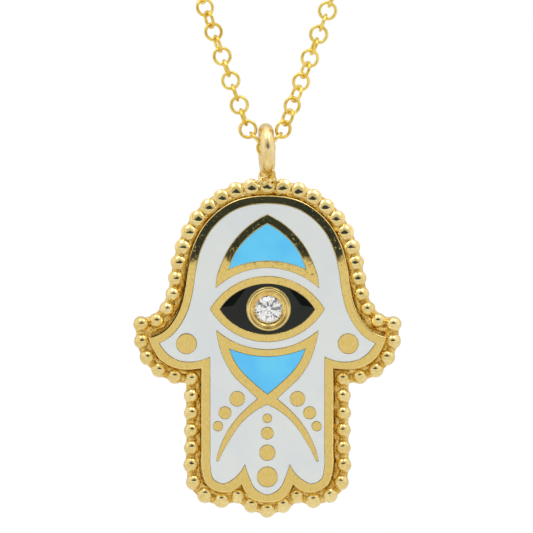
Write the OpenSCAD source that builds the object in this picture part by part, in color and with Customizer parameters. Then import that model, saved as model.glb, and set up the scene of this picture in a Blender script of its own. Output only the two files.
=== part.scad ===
// Hamsa pendant with enamel, bead border and bail, on a fine round-link chain.
// The pendant's front faces -Y. The origin lies where the chain rests on the back of the neck.

/* [Hand] */
// Width of the white field from thumb tip to thumb tip
thumb_span = 17.8; // [15:0.1:22]
// Height of the white field from the crown to the middle fingertip
field_h = 23.9; // [21:0.1:29]
// Width of the raised metal rim round the white field
rim_w = 0.72; // [0.5:0.02:0.9]
// Thickness of the metal at the picture
plate_t = 1.8; // [1.6:0.05:2.4]
// Thickness of the lower ledge that carries the beads
base_t = 0.9; // [0.6:0.05:1.2]
// Depth of the enamel cells
cell_depth = 0.5; // [0.3:0.05:0.8]

/* [Bead border] */
// Diameter of a bead
bead_d = 1.32; // [1:0.01:1.35]
// Spacing of the beads along the border, before it is fitted to each stretch
bead_pitch = 1.37; // [1.36:0.01:1.8]
// Clear channel between the raised plate and the beads
bead_gap = 0.14; // [0.1:0.02:0.3]
// How far the ledge reaches past the middle of the beads
ledge_reach = 0.38; // [0.2:0.02:0.5]

/* [Eye and leaves] */
// Width of the eye over its metal line
eye_w = 9.35; // [8:0.05:10.5]
// Height of the eye over its metal line
eye_h = 5.36; // [4.6:0.05:5.6]
// Width of the eye's metal line
eye_line = 0.59; // [0.4:0.01:0.7]
// Width of the upper leaf over its metal line
leaf_w = 8.4; // [7:0.05:9.5]
// Height of the upper leaf from its lower points to its tip
leaf_h = 5.98; // [5:0.05:6.5]
// Width of the upper leaf's metal line
leaf_line = 0.64; // [0.4:0.01:0.75]
// Width of the lower leaf and its tails over their metal line
tail_w = 8.33; // [7:0.05:9]
// Height of the lower leaf and its tails
tail_h = 10.82; // [9.5:0.05:11.5]
// Width of the lower leaf's metal line
tail_line = 0.57; // [0.4:0.01:0.7]
// Diameter of the largest dots
dot_d = 1.64; // [1.2:0.02:1.9]

/* [Stone and setting] */
// Diameter of the stone
stone_d = 2.25; // [1.8:0.01:2.5]
// Outer diameter of the bezel
bezel_d = 3.55; // [3.3:0.01:4]
// How far the bezel's rim stands above the plate
bezel_proud = 0.1; // [0:0.01:0.3]
// How far the stone's girdle lies below the plate's face
girdle_drop = 0.15; // [0:0.01:0.3]
// Width of the bezel's flat top rim
bezel_rim = 0.26; // [0.15:0.01:0.35]

/* [Bail and chain] */
// Outer diameter of the bail ring
bail_d = 4.3; // [4.2:0.01:6]
// Thickness of the bail's round wire
bail_wire = 1.2; // [0.8:0.01:1.25]
// Height of the solder between the top bead and the bail
solder_h = 0.19; // [0.1:0.01:0.5]
// Diameter of the chain, taken as a plain tube
chain_d = 1.2; // [0.9:0.05:1.25]
// Running clearance between the chain and the bail
chain_gap = 0.06; // [0.04:0.01:0.2]
// Length of the clasp without its end rings
clasp_l = 8; // [6:0.5:12]
// Diameter of the clasp
clasp_d = 2.8; // [2.2:0.1:4]

/* [Fits] */
// Gap round each enamel fill, the bezel and the stone
fit = 0.02; // [0.01:0.005:0.04]

/* [Hidden] */
$fn = 48;

// Length of one step along a drawn curve
curve_step = 0.4;
// How far the beads' middles lie above the ledge
bead_rise = 0.05;
// Metal between the stone's point and the bezel's foot
point_cover = 0.15;
// How far the bezel's lip reaches in over the stone, its thickness, and its slope's height
lip_reach = 0.05;
lip_t = 0.08;
lip_slope = 0.05;

// Right half of the hand's outline, from the crown down to the middle fingertip.
// Columns: x as a share of half the thumb span; drop as a share of the field's height;
// reach of the plate's edge from there, right and up, in rim widths;
// reach of the bead row from there, right and up, in bead offsets; 1 at a corner.
HAND = [
    [0.000, 0.000, 0.00, 0.92, 0.00, 0.97, 0],
    [0.295, 0.022, 0.38, 0.92, 0.38, 0.92, 0],
    [0.517, 0.091, 0.77, 0.63, 0.77, 0.63, 0],
    [0.613, 0.160, 0.94, 0.33, 0.94, 0.33, 0],
    [0.660, 0.228, 0.98, 0.17, 0.98, 0.17, 0],
    [0.687, 0.297, 0.98, 0.17, 0.98, 0.17, 0],
    [0.733, 0.366, 0.94, 0.35, 0.94, 0.35, 0],
    [0.803, 0.417, 0.82, 0.57, 0.86, 0.66, 0],
    [0.881, 0.452, 0.62, 0.78, 0.75, 0.82, 0],
    [1.000, 0.479, 1.20, 0.68, 0.96, 1.02, 1],
    [0.981, 0.489, 1.00, -0.17, 1.05, 0.30, 0],
    [0.936, 0.511, 0.85, -0.60, 0.80, -0.55, 0],
    [0.853, 0.534, 0.42, -0.86, 0.45, -0.80, 0],
    [0.743, 0.544, 0.25, -0.86, 0.40, -0.82, 0],
    [0.637, 0.541, 0.57, -0.94, 0.62, -0.94, 0],
    [0.530, 0.527, 0.97, -1.30, 0.98, -1.17, 1],
    [0.529, 0.700, 1.00, 0.00, 0.99, 0.00, 0],
    [0.528, 0.850, 1.00, 0.00, 0.99, 0.00, 0],
    [0.528, 0.901, 1.00, 0.00, 1.02, 0.00, 0],
    [0.493, 0.948, 0.70, -0.70, 0.97, -0.42, 0],
    [0.403, 0.962, 0.00, -1.00, 0.12, -0.90, 0],
    [0.314, 0.946, 0.06, -1.35, 0.13, -1.05, 0],
    [0.207, 0.896, 0.37, -2.25, 0.37, -1.70, 1],
    [0.166, 0.941, 0.51, -1.57, 0.27, -1.28, 0],
    [0.119, 0.976, 0.18, -1.31, 0.14, -0.95, 0],
    [0.000, 1.000, 0.00, -0.86, 0.00, -0.83, 0]
];
// Columns of HAND where each pair of reaches starts, and its corner column
AT_PLATE = 2;
AT_BEADS = 4;
HAND_CORNER = 6;

// Right half of the upper leaf, from its tip to the middle of its base.
// Columns: x as a share of half its width; height as a share of its height;
// reach of the blue cell from there, right and up, in line widths; 1 at a corner.
LEAF = [
    [0.000, 1.000, 0.00, -1.15, 1],
    [0.455, 0.787, -0.68, -0.74, 0],
    [0.771, 0.513, -0.87, -0.50, 0],
    [0.889, 0.335, -1.04, -0.26, 0],
    [0.977, 0.156, -1.46, 0.96, 0],
    [1.000, 0.000, -1.60, 2.26, 1],
    [0.527, 0.204, -0.83, 1.17, 0],
    [0.000, 0.273, 0.00, 0.83, 0]
];

// Right half of the eye, from its top to its bottom, with the same columns as LEAF.
EYE = [
    [0.00, 1.000, 0.00, -1.00, 0],
    [0.40, 0.876, -0.35, -0.94, 0],
    [0.75, 0.520, -0.65, -0.76, 0],
    [1.00, 0.000, -1.28, 0.00, 1],
    [0.75, -0.520, -0.65, 0.76, 0],
    [0.40, -0.876, -0.35, 0.94, 0],
    [0.00, -1.000, 0.00, 1.00, 0]
];

// Right half of the lower leaf and its tail, from the middle of its top edge down.
// Columns: x as a share of half its width; drop as a share of its height;
// reach of the blue cell, right and up, in line widths; 1 at a corner; 1 if the cell has this point.
TAIL = [
    [0.000, 0.144, 0.00, -0.97, 0, 1],
    [0.512, 0.110, -0.86, -1.31, 0, 1],
    [1.000, 0.000, -1.76, -2.53, 1, 1],
    [0.949, 0.102, -1.55, -1.00, 0, 1],
    [0.860, 0.205, -1.28, 0.00, 0, 1],
    [0.665, 0.337, -1.10, 0.60, 0, 1],
    [0.364, 0.451, -0.70, 1.00, 0, 1],
    [0.185, 0.517, 0.00, 0.00, 1, 0],
    [0.423, 0.595, 0.00, 0.00, 0, 0],
    [0.626, 0.678, 0.00, 0.00, 0, 0],
    [0.872, 0.830, 0.00, 0.00, 0, 0],
    [1.003, 0.985, 0.00, 0.00, 1, 0],
    [0.970, 0.990, 0.00, 0.00, 1, 0],
    [0.752, 0.830, 0.00, 0.00, 0, 0],
    [0.463, 0.678, 0.00, 0.00, 0, 0],
    [0.236, 0.606, 0.00, 0.00, 0, 0],
    [0.000, 0.558, 0.00, 1.40, 1, 1]
];

// Where the motifs sit, as shares of the field's height below its crown
LEAF_DROP = 0.288;
EYE_DROP = 0.362;
TAIL_DROP = 0.436;

// Dots. Columns: x as a share of half the thumb span; drop as a share of the field's height;
// diameter as a share of the largest dot's.
DOTS = [
    [0.745, 0.481, 1.00],
    [-0.745, 0.481, 1.00],
    [0.278, 0.670, 0.73],
    [-0.278, 0.670, 0.73],
    [0.390, 0.718, 0.61],
    [-0.390, 0.718, 0.61],
    [0.454, 0.764, 0.47],
    [-0.454, 0.764, 0.47],
    [0.000, 0.737, 0.43],
    [0.000, 0.788, 0.60],
    [0.000, 0.855, 0.77],
    [0.000, 0.938, 1.00]
];

// Proportions of a round brilliant, as shares of its diameter
TABLE_SHARE = 0.56;
CROWN_SHARE = 0.15;
GIRDLE_SHARE = 0.03;
PAVILION_SHARE = 0.43;
// Reach of the crown's and the pavilion's inner points, as shares of the radius
STAR_REACH = 0.80;
HALVES_REACH = 0.24;
// Opening under the stone, as a share of the stone's radius
THROAT_SHARE = 0.62;
// Radii of the solder's foot and head, as shares of the bail's wire
SOLDER_FOOT = 0.66;
SOLDER_HEAD = 0.42;
// Rounded end of the clasp, from its tip to its side. Columns: radius; distance from the tip,
// both as shares of the clasp's radius.
CLASP_END = [[0, 0], [0.5, 0], [0.88, 0.3], [1, 1]];

// Middle line of the chain's right side, from the clasp round the neck to the straight stretch
// above the pendant, in mm
CHAIN_ROUTE = [
    [12, 0.5, -0.2], [21, -2.5, -1.5], [30, -9.5, -5], [37, -20, -10.5], [40.5, -32, -18],
    [40.5, -44, -27], [37.5, -55, -37.5], [33.5, -63.5, -48.5], [29, -69.5, -60.5], [22, -73, -79.5],
    [14, -74, -101], [6.5, -74, -121]
];
// Height of the bail arch's middle and depth of the pendant below the clasp
ARCH_Z = -135;
HANG_Y = -74;
// Slope of the straight stretch from the vertical
V_ANGLE = 20.5;
// Rings of the tube between two points of the route, and along each side of the bend in the bail
ROUTE_RINGS = 2;
BEND_RINGS = 6;
TUBE_SIDES = 8;

// How far the bead row lies outside the white field
bead_out = rim_w + bead_gap + bead_d / 2;
bead_z = base_t + bead_rise;
cell_z = plate_t - cell_depth;
enamel_t = cell_depth - 2 * fit;
eye_at = -EYE_DROP * field_h;

// Middle of the bail, at the plate's mid-depth
bail_z = plate_t / 2;
bail_r = (bail_d - bail_wire) / 2;
bead_top = HAND[0][AT_BEADS + 1] * bead_out;
bail_at = bead_top + bead_d / 2 + solder_h + bail_d / 2;
// Radius of the chain's bend round the arch, and height of the hinge in the pendant
bend_r = bail_wire / 2 + chain_gap + chain_d / 2;
hinge_up = bail_at + bail_r - bend_r;
hinge_z = ARCH_Z - bend_r;

girdle_z = plate_t - girdle_drop;
stone_r = stone_d / 2;
pavilion_h = PAVILION_SHARE * stone_d;
girdle_h = GIRDLE_SHARE * stone_d;
crown_h = CROWN_SHARE * stone_d;
culet_z = girdle_z - girdle_h - pavilion_h;
cup_floor_z = culet_z - point_cover;

// Curves
function unit(v) = v / norm(v);
function xy(p) = [p[0], p[1]];
function last(list) = len(list) - 1;
function smooth_tangent(a, b, c) =
    let (before = norm(b - a), after = norm(c - b))
    ((b - a) / before * after + (c - b) / after * before) / (before + after);
function hermite(p, q, tp, tq, s) =
    (2 * s ^ 3 - 3 * s ^ 2 + 1) * p + (s ^ 3 - 2 * s ^ 2 + s) * tp
    + (3 * s ^ 2 - 2 * s ^ 3) * q + (s ^ 3 - s ^ 2) * tq;

// Points of a closed outline from its row i to the next. A row is [x, y, 1 at a corner].
function stretch(rows, i) =
    let (
        n = len(rows),
        a = xy(rows[(i + n - 1) % n]),
        b = xy(rows[i % n]),
        c = xy(rows[(i + 1) % n]),
        d = xy(rows[(i + 2) % n]),
        sharp_b = rows[i % n][2] == 1,
        sharp_c = rows[(i + 1) % n][2] == 1,
        gap = norm(c - b),
        along = (c - b) / gap,
        free_b = smooth_tangent(a, b, c),
        free_c = smooth_tangent(b, c, d),
        tb = !sharp_b ? free_b : sharp_c ? along : 2 * along - free_c,
        tc = !sharp_c ? free_c : sharp_b ? along : 2 * along - free_b,
        steps = sharp_b && sharp_c ? 1 : ceil(gap / curve_step)
    )
    [for (k = [0 : steps - 1]) hermite(b, c, tb * gap, tc * gap, k / steps)];
function outline(rows) = [for (i = [0 : last(rows)]) each stretch(rows, i)];

// The whole outline's rows from its right half, whose first and last rows lie on the middle line
function mirrored(half) =
    concat(half, [for (i = [last(half) - 1 : -1 : 1]) [-half[i][0], half[i][1], half[i][2]]]);

// A closed clockwise outline moved outwards by d, or inwards if d is negative
function spread(points, d) =
    let (n = len(points))
    [
        for (i = [0 : n - 1])
            let (
                a = unit(points[i] - points[(i + n - 1) % n]),
                b = unit(points[(i + 1) % n] - points[i]),
                na = [-a[1], a[0]],
                nb = [-b[1], b[0]]
            )
            points[i] + (na + nb) * d / max(1 + na * nb, 0.2)
    ];

// The hand's outline, at the field, the plate's edge or the bead row
function hand_rows(at, reach) =
    mirrored([
        for (r = HAND)
            [
                r[0] * thumb_span / 2 + (at == 0 ? 0 : r[at] * reach),
                -r[1] * field_h + (at == 0 ? 0 : r[at + 1] * reach),
                r[HAND_CORNER]
            ]
    ]);
field = outline(hand_rows(0, 0));
plate = outline(hand_rows(AT_PLATE, rim_w));
bead_rows = hand_rows(AT_BEADS, bead_out);
ledge = spread(outline(bead_rows), ledge_reach);

// A motif's outline and its cell, from a table like LEAF, sized w by h from the point [0, at]
function motif(table, w, h, at, line) =
    outline(mirrored([
        for (r = table) [r[0] * w / 2 + r[2] * line, at + r[1] * h + r[3] * line, r[4]]
    ]));
leaf = motif(LEAF, leaf_w, leaf_h, -LEAF_DROP * field_h, 0);
leaf_cell = motif(LEAF, leaf_w, leaf_h, -LEAF_DROP * field_h, leaf_line);
eye = motif(EYE, eye_w, eye_h / 2, eye_at, 0);
eye_cell = motif(EYE, eye_w, eye_h / 2, eye_at, eye_line);
tail = motif(TAIL, tail_w, -tail_h, -TAIL_DROP * field_h, 0);
tail_cell = motif([for (r = TAIL) if (r[5] == 1) r], tail_w, -tail_h, -TAIL_DROP * field_h, tail_line);

// Beads, evenly spaced along each stretch between the border's corners
function lengths(p) =
    [for (i = 0, s = 0; i < len(p); s = s + (i + 1 < len(p) ? norm(p[i + 1] - p[i]) : 0), i = i + 1) s];
function at_length(p, l, s) =
    let (j = max([for (i = [0 : last(p) - 1]) if (l[i] <= s) i]))
    p[j] + (p[j + 1] - p[j]) * (s - l[j]) / (l[j + 1] - l[j]);
function bead_run(from, to) =
    let (
        p = concat([for (i = [from : to - 1]) each stretch(bead_rows, i)], [xy(bead_rows[to])]),
        l = lengths(p),
        total = l[last(l)],
        n = round(total / bead_pitch)
    )
    [for (k = [0 : n - 1]) at_length(p, l, k * total / n)];
bead_stops = concat([0], [for (i = [0 : last(HAND)]) if (HAND[i][HAND_CORNER] == 1) i], [last(HAND)]);
right_beads = [for (k = [0 : last(bead_stops) - 1]) each bead_run(bead_stops[k], bead_stops[k + 1])];
beads = concat(
    right_beads,
    [xy(bead_rows[last(HAND)])],
    [for (p = right_beads) if (p[0] > bead_d / 4) [-p[0], p[1]]]
);

// The clasp's end rings, and where the chain starts beside them
clasp_wire = 0.4;
clasp_ring_d = 1.5;
ring_at = clasp_l / 2 + clasp_ring_d / 2 - clasp_wire / 4;
chain_end = ring_at + clasp_ring_d / 2 + chain_gap;

// From the pendant's own plane, with its back at 0, to where it hangs on the chain
module hang() {
    translate([0, HANG_Y + bail_z, hinge_z - hinge_up]) rotate([90, 0, 0]) children();
}

module dots(extra) {
    for (r = DOTS)
        translate([r[0] * thumb_span / 2, -r[1] * field_h]) circle(d = r[2] * dot_d + 2 * extra);
}

// The motifs and dots that stand in the white field, grown by extra
module motifs(extra) {
    polygon(spread(leaf, extra));
    polygon(spread(eye, extra));
    polygon(spread(tail, extra));
    dots(extra);
}

module cells() {
    translate([0, 0, cell_z]) {
        linear_extrude(plate_t) difference() {
            polygon(field);
            motifs(0);
        }
        linear_extrude(plate_t) polygon(leaf_cell);
        linear_extrude(plate_t) polygon(eye_cell);
        linear_extrude(plate_t) polygon(tail_cell);
    }
}

module bail_ring() {
    translate([0, bail_at, bail_z]) rotate([0, 90, 0]) rotate_extrude() translate([bail_r, 0])
        circle(d = bail_wire);
}

// The cone of solder from the ledge up round the foot of the bail
module solder_cone() {
    foot = bead_top + ledge_reach / 2;
    head = bail_at - bail_r;
    translate([0, foot, bail_z]) rotate([-90, 0, 0])
        cylinder(h = head - foot, r1 = bail_wire * SOLDER_FOOT, r2 = bail_wire * SOLDER_HEAD);
}

module hamsa_frame() {
    color("goldenrod") hang() difference() {
        union() {
            linear_extrude(base_t) polygon(ledge);
            linear_extrude(plate_t) polygon(plate);
            for (p = beads) translate([p[0], p[1], bead_z]) sphere(d = bead_d);
            bail_ring();
            solder_cone();
        }
        cells();
        translate([0, eye_at, cup_floor_z - fit]) cylinder(h = plate_t, d = bezel_d + 2 * fit);
    }
}

module enamel() {
    hang() translate([0, 0, cell_z + fit]) linear_extrude(enamel_t) children();
}

module white_enamel() {
    color("white") enamel() difference() {
        polygon(spread(field, -fit));
        motifs(fit);
    }
}

module upper_blue_enamel() {
    color("deepskyblue") enamel() polygon(spread(leaf_cell, -fit));
}

module lower_blue_enamel() {
    color("deepskyblue") enamel() polygon(spread(tail_cell, -fit));
}

module black_enamel() {
    color("black") enamel() difference() {
        polygon(spread(eye_cell, -fit));
        translate([0, eye_at]) circle(d = bezel_d + 2 * fit);
    }
}

// A turned cup: flat rim, a slope down to the stone, a lip over its girdle, and a seat under it
module bezel() {
    top = plate_t + bezel_proud;
    outer = bezel_d / 2;
    lip_z = girdle_z + fit + lip_t;
    throat = stone_r * THROAT_SHARE;
    color("goldenrod") hang() translate([0, eye_at, 0]) rotate_extrude() polygon([
        [throat, cup_floor_z],
        [outer, cup_floor_z],
        [outer, top],
        [outer - bezel_rim, top],
        [stone_r + fit, lip_z + lip_slope],
        [stone_r - lip_reach, lip_z],
        [stone_r + fit, girdle_z + fit],
        [stone_r + fit, girdle_z - girdle_h - fit],
        [throat, girdle_z - girdle_h - fit - (stone_r - throat) * pavilion_h / stone_r]
    ]);
}

// A round brilliant: table, 8 stars, 8 kites, 16 upper and 16 lower girdle facets, 8 mains
module diamond() {
    table_r = stone_r * TABLE_SHARE;
    star_r = stone_r * STAR_REACH;
    low_r = stone_r * HALVES_REACH;
    crown_slope = crown_h / (stone_r - table_r);
    pavilion_slope = pavilion_h / stone_r;
    star_h = (stone_r - star_r * cos(22.5)) * crown_slope;
    low_h = girdle_h + (stone_r - low_r * cos(22.5)) * pavilion_slope;
    points = concat(
        [for (k = [0 : 7]) [table_r * cos(45 * k), table_r * sin(45 * k), crown_h]],
        [for (k = [0 : 7]) [star_r * cos(45 * k + 22.5), star_r * sin(45 * k + 22.5), star_h]],
        [for (k = [0 : 15]) [stone_r * cos(22.5 * k), stone_r * sin(22.5 * k), 0]],
        [for (k = [0 : 15]) [stone_r * cos(22.5 * k), stone_r * sin(22.5 * k), -girdle_h]],
        [for (k = [0 : 7]) [low_r * cos(45 * k + 22.5), low_r * sin(45 * k + 22.5), -low_h]],
        [[0, 0, -girdle_h - pavilion_h]]
    );
    // Where each ring of points starts in the list
    star = 8;
    upper = 16;
    lower = 32;
    low = 48;
    culet = 56;
    faces = concat(
        [[7, 6, 5, 4, 3, 2, 1, 0]],
        [for (k = [0 : 7]) let (n = (k + 1) % 8) [k, n, star + k]],
        [for (k = [0 : 7]) let (b = (k + 7) % 8) [k, star + k, upper + 2 * k, star + b]],
        [for (k = [0 : 7]) [star + k, upper + 2 * k + 1, upper + 2 * k]],
        [for (k = [0 : 7]) let (n = (2 * k + 2) % 16) [star + k, upper + n, upper + 2 * k + 1]],
        [for (k = [0 : 15]) let (n = (k + 1) % 16) [upper + k, upper + n, lower + n, lower + k]],
        [for (k = [0 : 7]) [low + k, lower + 2 * k, lower + 2 * k + 1]],
        [for (k = [0 : 7]) let (n = (2 * k + 2) % 16) [low + k, lower + 2 * k + 1, lower + n]],
        [for (k = [0 : 7]) let (b = (k + 7) % 8) [culet, low + b, lower + 2 * k, low + k]]
    );
    color("aliceblue") hang() translate([0, eye_at, girdle_z]) polyhedron(points, faces);
}

// Chain: the bend in the bail, the straight stretches and the way round the neck, as one tube
bend_side = [
    for (k = [0 : BEND_RINGS])
        let (a = -90 + k * (90 - V_ANGLE) / BEND_RINGS)
        [bend_r * cos(a), HANG_Y, ARCH_Z + bend_r * sin(a)]
];
side_points = concat([[chain_end, clasp_d / 2, 0]], CHAIN_ROUTE);
function side_tangent(i) =
    i == 0 ? [1, 0, 0]
    : i == last(side_points) ? [-sin(V_ANGLE), 0, -cos(V_ANGLE)]
    : smooth_tangent(side_points[i - 1], side_points[i], side_points[i + 1]);
side = [
    for (i = [0 : last(side_points) - 1])
        for (k = [0 : ROUTE_RINGS - 1])
            let (gap = norm(side_points[i + 1] - side_points[i]))
            hermite(
                side_points[i], side_points[i + 1], side_tangent(i) * gap, side_tangent(i + 1) * gap,
                k / ROUTE_RINGS
            )
];
right_side = concat(side, [side_points[last(side_points)]], [for (k = [BEND_RINGS : -1 : 0]) bend_side[k]]);
route = concat(
    right_side,
    [for (i = [last(right_side) - 1 : -1 : 0]) [-right_side[i][0], right_side[i][1], right_side[i][2]]]
);

function tube_points(path, r, sides) =
    [
        for (i = [0 : last(path)])
            let (
                t = unit(path[min(i + 1, last(path))] - path[max(i - 1, 0)]),
                across = unit(cross(t, [0, 1, -1])),
                over = cross(across, t)
            )
            for (k = [0 : sides - 1])
                path[i] + r * (across * cos(360 * k / sides) + over * sin(360 * k / sides))
    ];
function tube_faces(rings, sides) =
    concat(
        [[for (k = [0 : sides - 1]) k]],
        [
            for (i = [0 : rings - 2])
                for (k = [0 : sides - 1])
                    let (n = (k + 1) % sides, a = i * sides, b = (i + 1) * sides)
                    [a + k, b + k, b + n, a + n]
        ],
        [[for (k = [sides - 1 : -1 : 0]) (rings - 1) * sides + k]]
    );

module chain() {
    color("goldenrod")
        polyhedron(tube_points(route, chain_d / 2, TUBE_SIDES), tube_faces(len(route), TUBE_SIDES));
}

// The clasp: a plain barrel with a ring at each end, its inner side at the origin
module clasp() {
    r = clasp_d / 2;
    half = clasp_l / 2;
    color("goldenrod") translate([0, r, 0]) {
        rotate([0, 90, 0]) rotate_extrude() polygon(concat(
            [for (p = CLASP_END) [r * p[0], r * p[1] - half]],
            [for (i = [last(CLASP_END) : -1 : 0]) [r * CLASP_END[i][0], half - r * CLASP_END[i][1]]]
        ));
        for (end = [-1, 1])
            translate([end * ring_at, 0, 0]) rotate([90, 0, 0]) rotate_extrude()
                translate([(clasp_ring_d - clasp_wire) / 2, 0]) circle(d = clasp_wire);
    }
}

chain();
clasp();
hamsa_frame();
white_enamel();
upper_blue_enamel();
lower_blue_enamel();
black_enamel();
bezel();
diamond();
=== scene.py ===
import math

import bmesh
import bpy
import numpy as np
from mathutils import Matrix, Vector, noise
from mathutils.geometry import delaunay_2d_cdt


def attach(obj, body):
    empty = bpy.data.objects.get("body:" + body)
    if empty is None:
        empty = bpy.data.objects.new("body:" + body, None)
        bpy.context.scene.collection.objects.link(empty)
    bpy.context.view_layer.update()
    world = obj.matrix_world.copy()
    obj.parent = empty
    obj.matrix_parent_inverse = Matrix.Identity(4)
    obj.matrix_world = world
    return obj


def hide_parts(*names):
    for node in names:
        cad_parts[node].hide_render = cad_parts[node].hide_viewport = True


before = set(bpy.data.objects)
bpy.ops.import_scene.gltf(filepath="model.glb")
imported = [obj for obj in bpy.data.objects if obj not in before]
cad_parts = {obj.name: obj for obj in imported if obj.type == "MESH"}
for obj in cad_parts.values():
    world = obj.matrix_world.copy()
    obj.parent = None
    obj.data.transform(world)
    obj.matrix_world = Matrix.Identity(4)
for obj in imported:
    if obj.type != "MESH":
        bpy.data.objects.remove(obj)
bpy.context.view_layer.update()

# Gold plate of the hand, with the rim, the eye, the two leaves and the dots standing between
# sunk cells. It is cast in yellow gold, rubbed flat and satin on its face, and polished round
# its outer edge. Sizes are in mm.
THUMB_SPAN = 17.8
FIELD_H = 23.9
RIM_W = 0.72
PLATE_T = 1.8
BASE_T = 0.9
SUNK = 0.1
CELL_FLOOR = 1.3
BEZEL_HOLE_R = 1.795
BEZEL_X = 0.10
CUP_FLOOR = 0.445
EDGE_ROUND = 0.10
CELL_ROUND = 0.025
FLAT_MARGIN = 0.012
BEAD_OUT = 1.52
HANG_Y = -73.1
HANG_Z = -141.025
CURVE_STEP = 0.16
DOT_SIDES = 56
TURNED_SIDES = 96

# Right half of the hand, from the crown to the middle fingertip. Columns: x as a share of half the
# span; drop as a share of the height; reach of the plate's edge, right and up, in rim widths;
# reach of the bead row, right and up, in bead offsets; 1 at a corner.
HAND = [
    (0.000, 0.000, 0.00, 0.92, 0.00, 0.97, 0),
    (0.295, 0.022, 0.38, 0.92, 0.38, 0.92, 0),
    (0.517, 0.091, 0.77, 0.63, 0.77, 0.63, 0),
    (0.613, 0.160, 0.94, 0.33, 0.94, 0.33, 0),
    (0.660, 0.228, 0.98, 0.17, 0.98, 0.17, 0),
    (0.687, 0.297, 0.98, 0.17, 0.98, 0.17, 0),
    (0.733, 0.366, 0.94, 0.35, 0.94, 0.35, 0),
    (0.803, 0.417, 0.82, 0.57, 0.86, 0.66, 0),
    (0.881, 0.452, 0.62, 0.78, 0.75, 0.82, 0),
    (1.000, 0.479, 1.20, 0.68, 0.96, 1.02, 1),
    (0.981, 0.489, 1.00, -0.17, 1.05, 0.30, 0),
    (0.936, 0.511, 0.85, -0.60, 0.80, -0.55, 0),
    (0.853, 0.534, 0.42, -0.86, 0.45, -0.80, 0),
    (0.743, 0.544, 0.25, -0.86, 0.40, -0.82, 0),
    (0.637, 0.541, 0.57, -0.94, 0.62, -0.94, 0),
    (0.530, 0.527, 0.97, -1.30, 0.98, -1.17, 1),
    (0.529, 0.700, 1.00, 0.00, 0.99, 0.00, 0),
    (0.528, 0.850, 1.00, 0.00, 0.99, 0.00, 0),
    (0.528, 0.901, 1.00, 0.00, 1.02, 0.00, 0),
    (0.493, 0.948, 0.70, -0.70, 0.97, -0.42, 0),
    (0.403, 0.962, 0.00, -1.00, 0.12, -0.90, 0),
    (0.314, 0.946, 0.06, -1.35, 0.13, -1.05, 0),
    (0.207, 0.896, 0.37, -2.25, 0.37, -1.70, 1),
    (0.166, 0.941, 0.51, -1.57, 0.27, -1.28, 0),
    (0.119, 0.976, 0.18, -1.31, 0.14, -0.95, 0),
    (0.000, 1.000, 0.00, -0.86, 0.00, -0.83, 0),
]
# Width and height of the leaf, the eye and the tail, where each stands as a drop in shares of the
# hand's height, and the width of its line.
LEAF_W, LEAF_H, LEAF_DROP, LEAF_LINE = 8.4, 5.98, 0.288, 0.64
EYE_W, EYE_H, EYE_DROP, EYE_LINE = 9.35, 2.68, 0.362, 0.59
TAIL_W, TAIL_H, TAIL_DROP, TAIL_LINE = 8.33, 10.82, 0.436, 0.57
# Right halves of the upper leaf and the eye. Columns: x as a share of half the width; height as a
# share of the height; reach of the cell, right and up, in line widths; 1 at a corner.
LEAF = [
    (0.000, 1.000, 0.00, -1.15, 1),
    (0.455, 0.787, -0.68, -0.74, 0),
    (0.771, 0.513, -0.87, -0.50, 0),
    (0.889, 0.335, -1.04, -0.26, 0),
    (0.977, 0.156, -1.46, 0.96, 0),
    (1.000, 0.000, -1.60, 2.26, 1),
    (0.527, 0.204, -0.83, 1.17, 0),
    (0.000, 0.273, 0.00, 0.83, 0),
]
EYE = [
    (0.00, 1.000, 0.00, -1.00, 0),
    (0.40, 0.876, -0.35, -0.94, 0),
    (0.75, 0.520, -0.65, -0.76, 0),
    (1.00, 0.000, -1.28, 0.00, 1),
    (0.75, -0.520, -0.65, 0.76, 0),
    (0.40, -0.876, -0.35, 0.94, 0),
    (0.00, -1.000, 0.00, 1.00, 0),
]
# Right half of the lower leaf and its tail, with the same columns; the last is 1 where the cell
# has the point too.
TAIL = [
    (0.000, 0.144, 0.00, -0.97, 0, 1),
    (0.512, 0.110, -0.86, -1.31, 0, 1),
    (1.000, 0.000, -1.76, -2.53, 1, 1),
    (0.949, 0.102, -1.55, -1.00, 0, 1),
    (0.860, 0.205, -1.28, 0.00, 0, 1),
    (0.665, 0.337, -1.10, 0.60, 0, 1),
    (0.364, 0.451, -0.70, 1.00, 0, 1),
    (0.185, 0.517, 0.00, 0.00, 1, 0),
    (0.423, 0.595, 0.00, 0.00, 0, 0),
    (0.626, 0.678, 0.00, 0.00, 0, 0),
    (0.872, 0.830, 0.00, 0.00, 0, 0),
    (1.003, 0.985, 0.00, 0.00, 1, 0),
    (0.970, 0.990, 0.00, 0.00, 1, 0),
    (0.752, 0.830, 0.00, 0.00, 0, 0),
    (0.463, 0.678, 0.00, 0.00, 0, 0),
    (0.236, 0.606, 0.00, 0.00, 0, 0),
    (0.000, 0.558, 0.00, 1.40, 1, 1),
]
# Dots: x as a share of half the span; drop as a share of the height; share of the largest dot.
DOT_D = 1.64
DOTS = [
    (0.745, 0.481, 1.00),
    (-0.745, 0.481, 1.00),
    (0.278, 0.670, 0.73),
    (-0.278, 0.670, 0.73),
    (0.390, 0.718, 0.61),
    (-0.390, 0.718, 0.61),
    (0.454, 0.764, 0.47),
    (-0.454, 0.764, 0.47),
    (0.000, 0.737, 0.43),
    (0.000, 0.788, 0.60),
    (0.000, 0.855, 0.77),
    (0.000, 0.938, 1.00),
]


def hang(points):
    """Points of the pendant's plan (right, up, out of the back), in mm, where it hangs, in metres."""
    p = np.asarray(points, float)
    return np.column_stack([p[:, 0], HANG_Y - p[:, 2], HANG_Z + p[:, 1]]) / 1000


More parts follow.
